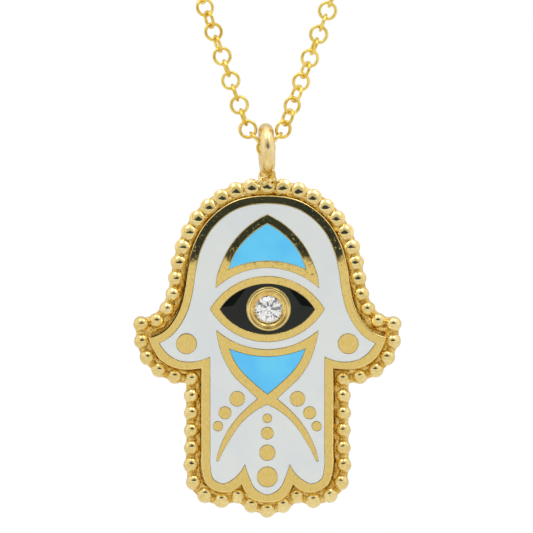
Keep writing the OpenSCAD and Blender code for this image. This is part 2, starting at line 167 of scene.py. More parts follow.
def smooth_tangent(a, b, c):
    """Direction of a smooth curve at b, on its way from a to c."""
    before, after = np.linalg.norm(b - a), np.linalg.norm(c - b)
    return ((b - a) / before * after + (c - b) / after * before) / (before + after)


def hermite(start, end, leaving, arriving, s):
    """The point at share s of a curve between two points, with its directions there."""
    return (
        (2 * s**3 - 3 * s**2 + 1) * start
        + (s**3 - 2 * s**2 + s) * leaving
        + (3 * s**2 - 2 * s**3) * end
        + (s**3 - s**2) * arriving
    )


def stretch(rows, i, step):
    """Points of a closed outline from its row i towards the next; a row is x, y, 1 at a corner."""
    n = len(rows)
    a, b, c, d = (np.array(rows[(i + k) % n][:2], float) for k in (-1, 0, 1, 2))
    sharp_b, sharp_c = rows[i % n][2] == 1, rows[(i + 1) % n][2] == 1
    gap = np.linalg.norm(c - b)
    along = (c - b) / gap
    free_b, free_c = smooth_tangent(a, b, c), smooth_tangent(b, c, d)
    leaving = free_b if not sharp_b else along if sharp_c else 2 * along - free_c
    arriving = free_c if not sharp_c else along if sharp_b else 2 * along - free_b
    steps = math.ceil(gap / step)
    return [hermite(b, c, leaving * gap, arriving * gap, k / steps) for k in range(steps)]


def outline(rows, step=CURVE_STEP):
    """A closed outline through the rows, running anticlockwise."""
    points = [p for i in range(len(rows)) for p in stretch(rows, i, step)]
    return np.array(points[::-1])


def mirrored(half):
    """A whole outline from its right half, whose first and last rows lie on the middle line."""
    return list(half) + [(-x, y, sharp) for x, y, sharp in half[-2:0:-1]]


def hand_rows(column, reach):
    """The hand's outline, moved by the reaches in a column of the table; column 0 is the field."""
    rows = []
    for r in HAND:
        x, y = r[0] * THUMB_SPAN / 2, -r[1] * FIELD_H
        if column:
            x, y = x + r[column] * reach, y + r[column + 1] * reach
        rows.append((x, y, r[6]))
    return mirrored(rows)


def motif(table, width, height, at, line):
    """Outline of a motif, or of its cell if the line has a width."""
    rows = []
    for r in table:
        rows.append((r[0] * width / 2 + r[2] * line, at + r[1] * height + r[3] * line, r[4]))
    return outline(mirrored(rows))


def circle(x, y, r, sides):
    """A circle, running anticlockwise."""
    turn = np.arange(sides) * 2 * math.pi / sides
    return np.column_stack([x + r * np.cos(turn), y + r * np.sin(turn)])


def moved_in(loop, d):
    """A loop moved to its left by d, which is inwards; a sharp corner by 2.4 times d at most."""
    before = loop - np.roll(loop, 1, axis=0)
    after = np.roll(loop, -1, axis=0) - loop
    a = before / np.linalg.norm(before, axis=1)[:, None]
    b = after / np.linalg.norm(after, axis=1)[:, None]
    left_a = np.column_stack([-a[:, 1], a[:, 0]])
    left_b = np.column_stack([-b[:, 1], b[:, 0]])
    meet = np.maximum(1 + np.sum(left_a * left_b, axis=1), 0.35)
    return loop + (left_a + left_b) * (d / meet)[:, None]


def parted(outlines, wanted):
    """The flat area inside those outlines for which wanted(set of outlines round it) holds."""
    points, rings = [], []
    for ring in outlines:
        rings.append(list(range(len(points), len(points) + len(ring))))
        points += [Vector(p) for p in ring]
    at, _, faces, _, _, inside = delaunay_2d_cdt(points, [], rings, 1, 1e-6, True)
    kept = [tuple(f) for f, over in zip(faces, inside) if wanted(set(over))]
    return np.array([tuple(p) for p in at]), kept


def loops_round(at, faces, closest=0.012):
    """The edges of an area as loops with the area on their left, without points that nearly meet."""
    steps = {(a, b) for f in faces for a, b in zip(f, f[1:] + f[:1])}
    following = {a: b for a, b in sorted(steps) if (b, a) not in steps}
    loops = []
    while following:
        first = min(following)
        order = [first]
        here = following.pop(first)
        while here != first:
            order.append(here)
            here = following.pop(here)
        kept = []
        for p in at[order]:
            if not kept or np.linalg.norm(p - kept[-1]) > closest:
                kept.append(p)
        if np.linalg.norm(kept[0] - kept[-1]) < closest:
            kept.pop()
        loops.append(np.array(kept))
    return loops


def signed_area(loop):
    x, y = loop[:, 0], loop[:, 1]
    return float(np.sum(x * np.roll(y, -1) - np.roll(x, -1) * y)) / 2


class Shell:
    """Walls and flats in the pendant's plan, in mm, that become one closed piece."""

    def __init__(self):
        self.points, self.faces, self.finishes = [], [], []

    def add(self, points, faces, finish=0):
        start = len(self.points)
        self.points += [tuple(p) for p in points]
        self.faces += [tuple(start + i for i in f) for f in faces]
        self.finishes += [finish] * len(faces)

    def wall(self, rings, finish=0):
        """Faces between closed rings of as many points each."""
        n = len(rings[0])
        faces = [
            (k * n + i, k * n + (i + 1) % n, (k + 1) * n + (i + 1) % n, (k + 1) * n + i)
            for k in range(len(rings) - 1)
            for i in range(n)
        ]
        self.add(np.vstack(rings), faces, finish)

    def edge(self, loop, profile, finish=0):
        """A wall along a loop, through a profile of (distance in from the loop, height)."""
        rings = [np.column_stack([moved_in(loop, d), np.full(len(loop), z)]) for d, z in profile]
        self.wall(rings, finish)

    def flat(self, loops, z, finish=0):
        """A flat at height z inside every odd one of the nested loops."""
        rings = [loop if signed_area(loop) > 0 else loop[::-1] for loop in loops]
        at, faces = parted(rings, lambda over: len(over) % 2 == 1)
        self.add(np.column_stack([at, np.full(len(at), z)]), faces, finish)

    def piece(self, name, finishes, crease=38.0, place=hang):
        mesh = bpy.data.meshes.new(name)
        mesh.from_pydata([tuple(p) for p in place(self.points)], [], self.faces)
        mesh.polygons.foreach_set("material_index", self.finishes)
        work = bmesh.new()
        work.from_mesh(mesh)
        bmesh.ops.remove_doubles(work, verts=work.verts, dist=2e-7)
        bmesh.ops.recalc_face_normals(work, faces=work.faces)
        work.to_mesh(mesh)
        work.free()
        for finish in finishes:
            mesh.materials.append(finish)
        mesh.polygons.foreach_set("use_smooth", [True] * len(mesh.polygons))
        mesh.set_sharp_from_angle(angle=math.radians(crease))
        made = bpy.data.objects.new(name, mesh)
        bpy.context.scene.collection.objects.link(made)
        return made


def rounded(r, top, inset=0.0, steps=4):
    """Profile of a rounded edge, from the flat down to the wall."""
    turn = [math.radians(90 * k / steps) for k in range(steps + 1)]
    return [(inset + r * (1 - math.sin(t)), top - r * (1 - math.cos(t))) for t in turn]


field = outline(hand_rows(0, 0))
plate_edge = outline(hand_rows(2, RIM_W))
leaf_y, eye_y, tail_y = -LEAF_DROP * FIELD_H, -EYE_DROP * FIELD_H, -TAIL_DROP * FIELD_H
leaf = motif(LEAF, LEAF_W, LEAF_H, leaf_y, 0)
leaf_cell = motif(LEAF, LEAF_W, LEAF_H, leaf_y, LEAF_LINE)
eye = motif(EYE, EYE_W, EYE_H, eye_y, 0)
eye_cell = motif(EYE, EYE_W, EYE_H, eye_y, EYE_LINE)
tail = motif(TAIL, TAIL_W, -TAIL_H, tail_y, 0)
tail_cell = motif([r for r in TAIL if r[5]], TAIL_W, -TAIL_H, tail_y, TAIL_LINE)
dots = [circle(x * THUMB_SPAN / 2, -y * FIELD_H, d * DOT_D / 2, DOT_SIDES) for x, y, d in DOTS]
bezel_hole = circle(BEZEL_X, eye_y, BEZEL_HOLE_R, TURNED_SIDES)

drawn = [plate_edge, field, leaf, eye, tail, leaf_cell, eye_cell, tail_cell] + dots
PLATE, FIELD, CELLS = 0, 1, {5, 6, 7}
RAISED = {2, 3, 4} | set(range(8, 8 + len(dots)))


def is_metal(over):
    return PLATE in over and not over & CELLS and (FIELD not in over or bool(over & RAISED))


def is_white(over):
    return FIELD in over and not over & CELLS and not over & RAISED


metal_loops = loops_round(*parted(drawn, is_metal))
metal_loops.sort(key=lambda loop: -abs(signed_area(loop)))
rim_loop, cell_loops = metal_loops[0], metal_loops[1:]

plate = Shell()
rim_profile = rounded(EDGE_ROUND, PLATE_T)
cell_profile = rounded(CELL_ROUND, PLATE_T, 0, 3)
plate.flat(
    [moved_in(rim_loop, EDGE_ROUND + FLAT_MARGIN)]
    + [moved_in(loop, CELL_ROUND + FLAT_MARGIN) for loop in cell_loops],
    PLATE_T,
)
plate.edge(rim_loop, [(EDGE_ROUND + FLAT_MARGIN, PLATE_T), (EDGE_ROUND, PLATE_T)])
plate.edge(rim_loop, rim_profile + [(0, BASE_T - SUNK)], 1)
for loop in cell_loops:
    plate.edge(loop, [(CELL_ROUND + FLAT_MARGIN, PLATE_T), (CELL_ROUND, PLATE_T)])
    plate.edge(loop, cell_profile, 1)
    # Inside the enamel's gap the cell walls take the third finish, painted dark as shade.
    plate.edge(loop, [(0, PLATE_T - CELL_ROUND), (0, CELL_FLOOR)], 2)
plate.flat(cell_loops + [bezel_hole], CELL_FLOOR, 1)
plate.edge(bezel_hole, [(0, CELL_FLOOR), (0, CUP_FLOOR)], 1)
plate.flat([bezel_hole], CUP_FLOOR, 1)
plate.flat([rim_loop, bezel_hole], BASE_T - SUNK, 1)


class Value:
    """A number or colour that changes over a surface, for shader maths in plain expressions."""

    def __init__(self, finish, socket):
        self.finish, self.socket = finish, socket

    def math(self, operation, *others):
        return self.finish.node("Math", {"operation": operation}, *others)

    def __add__(self, other):
        return self.math("ADD", self, other)

    def __sub__(self, other):
        return self.math("SUBTRACT", self, other)

    def __rsub__(self, other):
        return self.math("SUBTRACT", other, self)

    def __mul__(self, other):
        return self.math("MULTIPLY", self, other)

    def __abs__(self):
        return self.math("ABSOLUTE", self)

    __radd__ = __add__

    def most(self, other):
        """The greater of the two at each point."""
        return self.math("MAXIMUM", self, other)

    def ramp(self, start, end):
        """0 up to start and 1 from end, with a smooth rise between, or a fall if end is less."""
        settings = {"interpolation_type": "SMOOTHSTEP"}
        low, high, out = (start, end, (0, 1)) if start < end else (end, start, (1, 0))
        return self.finish.node("MapRange", settings, self, low, high, *out)


class Finish:
    """A material or the surroundings, whose nodes are made one by one."""

    def __init__(self, owner):
        self.owner = owner
        owner.use_nodes = True
        self.tree = owner.node_tree
        self.tree.nodes.clear()

    def node(self, kind, settings, *values, output=0, **named):
        """A shader node with its inputs set or linked, given in order or by name."""
        made = self.tree.nodes.new("ShaderNode" + kind)
        for key, value in settings.items():
            setattr(made, key, value)
        for key, value in list(enumerate(values)) + list(named.items()):
            socket = made.inputs[key.replace("_", " ") if isinstance(key, str) else key]
            if isinstance(value, Value):
                self.tree.links.new(value.socket, socket)
            elif value is not None:
                socket.default_value = value
        return Value(self, made.outputs[output] if made.outputs else None)

    def place(self, *stretch_by):
        """Where a point lies on the object, in metres, stretched along x, y and z."""
        where = self.node("TexCoord", {}, output=3)
        return self.node("VectorMath", {"operation": "MULTIPLY"}, where, stretch_by)

    def grain(self, stretch_by, detail=2.0, roughness=0.5):
        """Noise about 1 across in the stretched place."""
        where = self.place(*stretch_by)
        return self.node(
            "TexNoise", {}, Vector=where, Scale=1.0, Detail=detail, Roughness=roughness
        )

    def mix(self, amount, a, b):
        """Colour a, changing to b as the amount goes to 1."""
        other_kinds = [None] * 5
        return self.node("Mix", {"data_type": "RGBA"}, amount, *other_kinds, a, b, output=2)

    def bump(self, height, distance, **named):
        """The surface's normal, roughened by a height that reaches a distance in metres."""
        return self.node("Bump", {}, Strength=1.0, Distance=distance, Height=height, **named)

    def along(self, axis):
        """How far along x, y or z (0, 1 or 2) a point lies on the object, in metres."""
        return self.node("SeparateXYZ", {}, self.place(1, 1, 1), output=axis)

    def leaning(self, aside, forward, up):
        """The surface's normal, leaning a little, as on metal rubbed slightly round."""
        normal = self.node("NewGeometry", {}, output=1)
        lean = self.node("CombineXYZ", {}, aside, 0 - forward, up)
        bent = self.node("VectorMath", {"operation": "ADD"}, normal, lean)
        return self.node("VectorMath", {"operation": "NORMALIZE"}, bent)

    def surface(self, **sockets):
        """The material, once its shader has these values."""
        shader = self.node("BsdfPrincipled", {}, **sockets)
        self.node("OutputMaterial", {}, Surface=shader)
        return self.owner


def colour(r, g, b):
    """A colour as it looks on a screen, from 0 to 255, in the shader's own numbers."""
    parts = [v / 255 for v in (r, g, b)]
    return tuple(v / 12.92 if v <= 0.04045 else ((v + 0.055) / 1.055) ** 2.4 for v in parts) + (1,)


SATIN_GOLD = colour(220, 194, 120)
SATIN_GOLD_SHADE = colour(209, 180, 101)
POLISHED_GOLD = colour(240, 214, 140)
# Painted dark reflection for the polished edge on the left.
PAINTED_DARK_REFLECTION = colour(40, 35, 19)
# Painted shade for the cell walls in the gap round the enamel.
CELL_WALL_SHADE = colour(74, 66, 50)
CELL_WALL_SHADE_PALE = colour(96, 84, 60)
# In metres where the pendant hangs: the plate's middle, where its face is level, how much more it
# leans for each metre up or down and at most, the foot of the rounded edge, and the thumbs' tips.
PLATE_MIDDLE_Y = -0.0740
LEVEL_Z = -0.1456
RUBBED_ROUND = 4.6
MOST_LEAN = -0.040
EDGE_FOOT_Y = -0.07481
THUMB_TIP_Z = -0.15205

# Satin gold, with fine upright strokes, scuffs and pits. The back is evenly dull.
satin = Finish(bpy.data.materials.new("satin_gold"))
strokes = satin.grain((11000, 11000, 2600), 3.0)
swells = satin.grain((900, 900, 900), 3.0)
scuffs = satin.grain((4200, 4200, 4200), 3.0, 0.6).ramp(0.62, 0.76)
pits = satin.grain((5200, 5200, 5200), 1.0).ramp(0.30, 0.24)
behind = (satin.along(1) - PLATE_MIDDLE_Y).ramp(0.0, 0.0002)
rub = ((satin.along(2) - LEVEL_Z) * RUBBED_ROUND).most(MOST_LEAN) + (swells - 0.5) * 0.010
rubbed = satin.leaning(0.0, 0.0, rub * (1.0 - behind))
satin_gold = satin.surface(
    Base_Color=satin.mix(strokes.ramp(0.30, 0.66), SATIN_GOLD_SHADE, SATIN_GOLD),
    Metallic=1.0,
    Roughness=0.03 + pits * 0.15 + behind * 0.27,
    Normal=satin.bump(strokes * 0.12 + scuffs - pits * 0.6, 1.2e-6, Normal=rubbed),
)

# Polished gold, with a thin dark line painted into its colour below the rounded edge on the left,
# above the thumb's tip: a painted reflection of the dark of the camera's side.
polish = Finish(bpy.data.materials.new("polished_gold"))
on_left = (0.0 - polish.along(0)).ramp(0.0060, 0.0066)
above_tip = (polish.along(2) - THUMB_TIP_Z).ramp(0.0, 0.0001)
below_edge = (polish.along(1) - EDGE_FOOT_Y).ramp(0.0, -0.00003)
shine = polish.mix(polish.grain((900, 900, 900)).ramp(0.35, 0.7), POLISHED_GOLD, SATIN_GOLD)
polished_gold = polish.surface(
    # The edge strip on the left, above the thumb's tip, is painted dark: a painted reflection.
    Base_Color=polish.mix(on_left * above_tip * below_edge, shine, PAINTED_DARK_REFLECTION),
    Metallic=1.0,
    Roughness=0.10 + polish.grain((1500, 1500, 1500)) * 0.10,
    Normal=polish.bump(
        polish.grain((2500, 2500, 1200), 3.0), 1.5e-6, Normal=polish.leaning(0.0, 0.0, -0.010)
    ),
)

# Walls of the cells in the gap round the enamel, painted dark: painted shade, standing in for the
# shadow along the enamel's edge.
dull = Finish(bpy.data.materials.new("painted_shade_wall"))
painted_shade_wall = dull.surface(
    Base_Color=dull.mix(dull.grain((900, 900, 900)), CELL_WALL_SHADE, CELL_WALL_SHADE_PALE),
    Roughness=0.6,
)

hamsa_plate = plate.piece("hamsa_plate", [satin_gold, polished_gold, painted_shade_wall])
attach(hamsa_plate, "pendant")
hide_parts("hamsa_frame")

# White enamel that fills the field round the motifs. It is glassy and fired in, ground level with
# the metal, and a hair lower along its edges.
ENAMEL_GAP = 0.03
ENAMEL_ROUND = 0.035
ENAMEL_TOP = PLATE_T - 0.008
ENAMEL_FOOT = CELL_FLOOR + 0.02
WHITE = colour(223, 228, 228)
WHITE_COOL = colour(218, 224, 228)


def enamel_fill(loops):
    """A fill with softly rounded upper edges, inside loops that have the fill on their left."""
    fill = Shell()
    edge = rounded(ENAMEL_ROUND, ENAMEL_TOP, ENAMEL_GAP, 3)
    margin = ENAMEL_GAP + ENAMEL_ROUND + FLAT_MARGIN
    fill.flat([moved_in(loop, margin) for loop in loops], ENAMEL_TOP)
    for loop in loops:
        fill.edge(loop, [(margin, ENAMEL_TOP)] + edge + [(ENAMEL_GAP, ENAMEL_FOOT)])
    fill.flat([moved_in(loop, ENAMEL_GAP) for loop in loops], ENAMEL_FOOT)
    return fill


def fired_enamel(name, plain, shade, gloss):
    """Glassy enamel with faint clouds in its colour and a slow ripple in its shine."""
    glaze = Finish(bpy.data.materials.new(name))
    clouds = glaze.grain((310, 310, 310), 2.0)
    specks = glaze.grain((3300, 3300, 3300), 1.0).ramp(0.275, 0.235)
    return glaze.surface(
        Base_Color=glaze.mix(clouds.ramp(0.35, 0.68) + specks * 0.6, plain, shade),
        Roughness=0.09 + clouds * 0.06,
        IOR=gloss,
        Normal=glaze.bump(glaze.grain((420, 420, 420)), 2e-6),
    )


white_fill = enamel_fill(loops_round(*parted(drawn, is_white))).piece(
    "white_enamel_fill", [fired_enamel("white_enamel", WHITE, WHITE_COOL, 1.5)]
)
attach(white_fill, "pendant")
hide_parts("white_enamel")

# Sky blue enamel in the two leaves, one above the eye and one below it. It is fired in and ground
# level as the white is.
BLUE = colour(104, 209, 255)
BLUE_DEEP = colour(90, 197, 254)

blue_glaze = fired_enamel("blue_enamel", BLUE, BLUE_DEEP, 1.45)
upper_blue_fill = enamel_fill([leaf_cell]).piece("upper_blue_fill", [blue_glaze])
lower_blue_fill = enamel_fill([tail_cell]).piece("lower_blue_fill", [blue_glaze])
for fill, node in ((upper_blue_fill, "upper_blue_enamel"), (lower_blue_fill, "lower_blue_enamel")):
    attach(fill, "pendant")
    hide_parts(node)

# Black enamel of the eye, round the setting. It is the glassiest of the fills, and swells a little in
# the eye's upper corners, which mirror the dark of the camera's side; there its colour is also
# painted deeper black, a painted reflection of that dark.
BLACK = colour(27, 31, 23)
BLACK_DEEP = colour(17, 19, 14)
# The swollen corners, painted darker, lie above a low line and outside a steep one, each with its
# slope and its height over the eye's middle, in metres.
EYE_Z = -0.14968
LOW_SLOPE, LOW_START = 0.16, 0.00076
STEEP_SLOPE, STEEP_START = 1.32, 0.00398

jet = Finish(bpy.data.materials.new("black_enamel"))
clouds = jet.grain((310, 310, 310), 2.0)
aside = abs(jet.along(0))
rise = jet.along(2) - EYE_Z + clouds * 0.0001
swollen_and_painted_dark = (rise + aside * LOW_SLOPE - LOW_START).ramp(0.0, 0.0001)
swollen_and_painted_dark = swollen_and_painted_dark * (rise + aside * STEEP_SLOPE - STEEP_START).ramp(0.0, 0.0001)
black_enamel = jet.surface(
    # The swollen corners are painted deeper black: a painted reflection, on top of the faint clouds.
    Base_Color=jet.mix(clouds.ramp(0.35, 0.68) * 0.6 + swollen_and_painted_dark, BLACK, BLACK_DEEP),
    Roughness=0.07 + clouds * 0.04,
    IOR=1.36,
    Normal=jet.bump(jet.grain((420, 420, 420)), 1e-6, Normal=jet.leaning(0.0, 0.0, swollen_and_painted_dark * 0.04)),
)
black_fill = enamel_fill([eye_cell, bezel_hole[::-1]]).piece("black_enamel_fill", [black_enamel])
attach(black_fill, "pendant")
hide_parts("black_enamel")

# Bezel: a turned gold cup pressed through the plate in the middle of the eye. It has a bright rim,
# a groove inside it, and a thin lip burnished over the stone's girdle.
SEAT_GOLD = colour(228, 182, 98)
# Radius and height along the cup, from under the stone round the outside, and along its seat.
BEZEL_CUP = [
    (1.145, 1.5625),
    (0.698, 1.195),
    (0.698, 0.465),
    (1.745, 0.465),
    (1.775, 0.495),
    (1.775, 1.845),
    (1.758, 1.882),
    (1.720, 1.900),
    (1.560, 1.900),
    (1.530, 1.886),
    (1.512, 1.820),
    (1.490, 1.806),
    (1.468, 1.816),
    (1.440, 1.856),
    (1.405, 1.868),
    (1.370, 1.856),
    (1.340, 1.812),
]
BEZEL_SEAT = [
    (1.340, 1.812),
    (1.290, 1.782),
    (1.230, 1.772),
    (1.170, 1.768),
    (1.135, 1.756),
    (1.112, 1.747),
    (1.108, 1.739),
    (1.145, 1.670),
    (1.145, 1.5625),
]


def turned(cup, profile, finish=0):
    """A wall turned about the bezel's middle through a profile of (radius, height)."""
    rings = []
    for r, z in profile:
        ring = circle(BEZEL_X, eye_y, r, TURNED_SIDES)
        rings.append(np.column_stack([ring, np.full(TURNED_SIDES, z)]))
    cup.wall(rings, finish)


cup = Shell()
turned(cup, BEZEL_CUP)
turned(cup, BEZEL_SEAT, 1)

burnish = Finish(bpy.data.materials.new("burnished_seat"))
dimples = burnish.grain((3000, 3000, 3000), 3.0)
burnished_seat = burnish.surface(
    Base_Color=burnish.mix(dimples.ramp(0.4, 0.6), SEAT_GOLD, POLISHED_GOLD),
    Metallic=1.0,
    Roughness=0.12 + dimples * 0.12,
    Normal=burnish.bump(dimples, 6e-5),
)

bezel_cup = cup.piece("bezel_cup", [polished_gold, burnished_seat], 50)
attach(bezel_cup, "pendant")
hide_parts("bezel")

# Diamond: a small round brilliant, clear and colourless, held by the bezel's lip. It has a table,
# eight stars, eight kites, sixteen upper and sixteen lower girdle facets, and eight mains.
STONE_R = 1.125
TABLE_R = 0.56 * STONE_R
STAR_R = 0.80 * STONE_R
LOW_R = 0.24 * STONE_R
GIRDLE_Z = 1.65
CROWN_H = 0.3375
GIRDLE_H = 0.0675
PAVILION_H = 0.9675
STONE_TURN = math.radians(9)


def stone_ring(r, up, sides, turned_by=0.0):
    """Points of the stone on a circle, at a height above the girdle's upper edge."""
    points = []
    for k in range(sides):
        a = 2 * math.pi * (k + turned_by) / sides + STONE_TURN
        points.append((BEZEL_X + r * math.cos(a), eye_y + r * math.sin(a), GIRDLE_Z + up))
    return points


half_step = math.cos(math.radians(22.5))
star_h = (STONE_R - STAR_R * half_step) * CROWN_H / (STONE_R - TABLE_R)
low_h = -GIRDLE_H - (STONE_R - LOW_R * half_step) * PAVILION_H / STONE_R
stone = Shell()
points = stone_ring(TABLE_R, CROWN_H, 8) + stone_ring(STAR_R, star_h, 8, 0.5)
points += stone_ring(STONE_R, 0, 16) + stone_ring(STONE_R, -GIRDLE_H, 16)
points += stone_ring(LOW_R, low_h, 8, 0.5) + stone_ring(0, -GIRDLE_H - PAVILION_H, 1)
STAR, UPPER, LOWER, LOW, CULET = 8, 16, 32, 48, 56
facets = [tuple(range(8))]
for k in range(8):
    here, there, before = 2 * k, (2 * k + 2) % 16, (k + 7) % 8
    facets.append((k, STAR + k, (k + 1) % 8))
    facets.append((k, STAR + before, UPPER + here, STAR + k))
    facets.append((STAR + k, UPPER + here, UPPER + here + 1))
    facets.append((STAR + k, UPPER + here + 1, UPPER + there))
    facets.append((LOW + k, LOWER + here + 1, LOWER + here))
    facets.append((LOW + k, LOWER + there, LOWER + here + 1))
    facets.append((CULET, LOW + k, LOWER + here, LOW + before))
for k in range(16):
    facets.append((UPPER + k, LOWER + k, LOWER + (k + 1) % 16, UPPER + (k + 1) % 16))
stone.add(points, facets)

clear = Finish(bpy.data.materials.new("clear_stone"))
clear_stone = clear.surface(
    Base_Color=(1.0, 1.0, 1.0, 1),
    Roughness=0.0,
    IOR=2.417,
    Transmission_Weight=1.0,
)
diamond_stone = stone.piece("diamond_stone", [clear_stone], 1)
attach(diamond_stone, "pendant")
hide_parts("diamond")

# Ledge: the plate's lower step, which carries the beads. It is cast with the plate, and its top
# shows as a deep gold channel, rough from the soldering.
LEDGE_REACH = 0.38
LEDGE_ROUND = 0.1
LEDGE_MARGIN = 0.12
HOLE_CLEAR = 0.1
RUN_IN = 0.50
RUN_UP = 0.10
RUN_R = 0.25
CHANNEL_GOLD = colour(214, 170, 70)

bead_line = hand_rows(4, BEAD_OUT)
ledge_loop = moved_in(outline(bead_line), -LEDGE_REACH)
ledge = Shell()
ledge_hole = circle(BEZEL_X, eye_y, BEZEL_HOLE_R + HOLE_CLEAR, TURNED_SIDES)
ledge_foot = [(0, BASE_T - LEDGE_ROUND), (0, 0.08), (0.025, 0.02), (0.08, 0), (LEDGE_ROUND, 0)]
ledge.flat([moved_in(ledge_loop, LEDGE_MARGIN), ledge_hole], BASE_T)
ledge.edge(ledge_hole, [(0, BASE_T), (0, CUP_FLOOR - HOLE_CLEAR)])
ledge.flat([ledge_hole], CUP_FLOOR - HOLE_CLEAR)
ledge.edge(ledge_loop, [(LEDGE_MARGIN, BASE_T)] + rounded(LEDGE_ROUND, BASE_T, 0, 3))
ledge.edge(ledge_loop, ledge_foot)
ledge.flat([moved_in(ledge_loop, LEDGE_ROUND)], 0.0, 1)

channel = Finish(bpy.data.materials.new("channel_gold"))
lumps = channel.grain((2100, 2100, 2100), 3.0)
channel_gold = channel.surface(
    Base_Color=channel.mix(lumps.ramp(0.35, 0.65), CHANNEL_GOLD, POLISHED_GOLD),
    Metallic=1.0,
    Roughness=0.34 + lumps * 0.2,
    Normal=channel.bump(lumps, 2.2e-4),
)

# A run of solder along the inner side of the beads.
run_line = outline(bead_line, 0.12)
axis = np.column_stack([moved_in(run_line, RUN_IN), np.full(len(run_line), BASE_T + RUN_UP)])
run = []
for b in np.linspace(0, 2 * math.pi, 13):
    height = np.full(len(run_line), BASE_T + RUN_UP + RUN_R * math.sin(b))
    ring = np.column_stack([moved_in(run_line, RUN_IN + RUN_R * math.cos(b)), height])
    lump = [1 + 0.55 * noise.noise(Vector(p) * 2.6) for p in ring]
    run.append(axis + (ring - axis) * np.array(lump)[:, None])
ledge.wall(run)

bead_ledge = ledge.piece("bead_ledge", [channel_gold, satin_gold])
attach(bead_ledge, "pendant")
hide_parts("hamsa_frame")

# Bead border: fifty-eight round gold beads in one row on the ledge, run together by short necks
# of solder.
BEAD_D = 1.32
BEAD_PITCH = 1.37
BEAD_Z = 0.95
BEAD_UNEVEN = 0.03
BEAD_LUMPS = 0.045
NECK_R = 0.46
NECK_DROP = 0.26
NECK_HALF = 0.36
NECK_FLARE = 0.07
TIP_R = 0.0004
BEAD_GOLD = colour(240, 222, 164)
BEAD_GOLD_DEEP = colour(220, 192, 116)


def bead_run(first, last):
    """Beads evenly spaced from one corner row of the border to the next."""
    rows = [p for i in range(first, last) for p in stretch(bead_line, i, 0.4)]
    rows = np.array(rows + [bead_line[last][:2]])
    along = np.concatenate([[0], np.cumsum(np.linalg.norm(np.diff(rows, axis=0), axis=1))])
    count = round(along[-1] / BEAD_PITCH)
    at = np.arange(count) * along[-1] / count
    return [(np.interp(s, along, rows[:, 0]), np.interp(s, along, rows[:, 1])) for s in at]


stops = [0] + [i for i, r in enumerate(HAND) if r[6]] + [len(HAND) - 1]
right_beads = [p for a, b in zip(stops, stops[1:]) for p in bead_run(a, b)]
bead_ring = right_beads + [bead_line[len(HAND) - 1][:2]] + [(-x, y) for x, y in right_beads[:0:-1]]


def lathe(profile, sides, start, along):
    """A round body through (distance along, radius), from a point and in a direction."""
    along = np.array(along, float) / np.linalg.norm(along)
    across = np.cross(along, (0.0, 0.0, 1.0))
    across = across / np.linalg.norm(across)
    over = np.cross(along, across)
    turn = np.arange(sides) * 2 * math.pi / sides
    rim = np.cos(turn)[:, None] * across + np.sin(turn)[:, None] * over
    return [np.array(start) + s * along + r * rim for s, r in profile]


border = Shell()
for k, (x, y) in enumerate(bead_ring):
    r = BEAD_D / 2 * (1 + BEAD_UNEVEN * noise.noise(Vector((k * 1.7, 2, 6))))
    ax, ay = bead_ring[k - 1]
    bx, by = bead_ring[(k + 1) % len(bead_ring)]
    turn = [math.radians(180 * i / 14) for i in range(15)]
    profile = [(-r * math.cos(t), max(r * math.sin(t), TIP_R)) for t in turn]
    middle = np.array((x, y, BEAD_Z))
    rings = []
    for ring in lathe(profile, 24, middle, (bx - ax, by - ay, 0)):
        lump = [1 + BEAD_LUMPS * noise.noise(Vector(p) * 1.9) for p in ring]
        rings.append(middle + (ring - middle) * np.array(lump)[:, None])
    border.wall(rings)
for (ax, ay), (bx, by) in zip(bead_ring, bead_ring[1:] + bead_ring[:1]):
    span = math.hypot(bx - ax, by - ay)
    share = [k / 6 for k in range(-6, 7)]
    neck = [(span / 2 + s * NECK_HALF, NECK_R + NECK_FLARE * s**2) for s in share]
    neck = [(neck[0][0], TIP_R)] + neck + [(neck[-1][0], TIP_R)]
    border.wall(lathe(neck, 14, (ax, ay, BEAD_Z - NECK_DROP), (bx - ax, by - ay, 0)), 1)

# The beads are worn and mirror the studio unevenly: the higher one lies, the more its shine leans
# aside, forward and up. Heights in metres where they hang.
BEADS_LEVEL_Z = -0.1510
BEADS_HIGH = 0.0020

cast = Finish(bpy.data.materials.new("bead_gold"))
dents = cast.grain((1300, 1300, 1300), 3.0)
clouds = cast.grain((420, 420, 420)).ramp(0.35, 0.65)
mottle = cast.grain((6500, 6500, 6500), 2.0).ramp(0.36, 0.64)
rise = cast.along(2) - BEADS_LEVEL_Z
high = (rise - BEADS_HIGH).most(0.0)
aside = cast.along(0) * (high * 4500.0 + 3.0)
lean = cast.leaning(aside, high * 120.0, rise * 16.0 + high * 25.6)
bead_gold = cast.surface(
    Base_Color=cast.mix(clouds * 0.4 + mottle * 0.6, BEAD_GOLD_DEEP, BEAD_GOLD),
    Metallic=1.0,
    Roughness=0.05 + dents * 0.07,
    Normal=cast.bump(dents, 2.8e-5, Normal=lean),
)
bead_border = border.piece("bead_border", [bead_gold, channel_gold], 60)
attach(bead_border, "pendant")
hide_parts("hamsa_frame")

# Bail: a closed ring of thick round gold wire, soldered edge-on above the middle bead, turned and
# leaning a little to one side. The solder has set in a small crumpled mound round its foot.
BAIL_AT = 4.474
BAIL_R = 1.55
WIRE_R = 0.6
BAIL_TURN = math.radians(-4)
BAIL_LEAN = math.radians(2.5)
BAIL_STEPS = 96
BAIL_SIDES = 32
BAIL_LUMPS = 0.002
BEAD_TOP = 0.97 * BEAD_OUT
MID_Z = PLATE_T / 2
MOUND_INTO = 0.12
MOUND_STEPS = 24
MOUND_SIDES = 48
BAIL_GOLD = colour(241, 220, 168)
BAIL_GOLD_DEEP = colour(230, 202, 134)

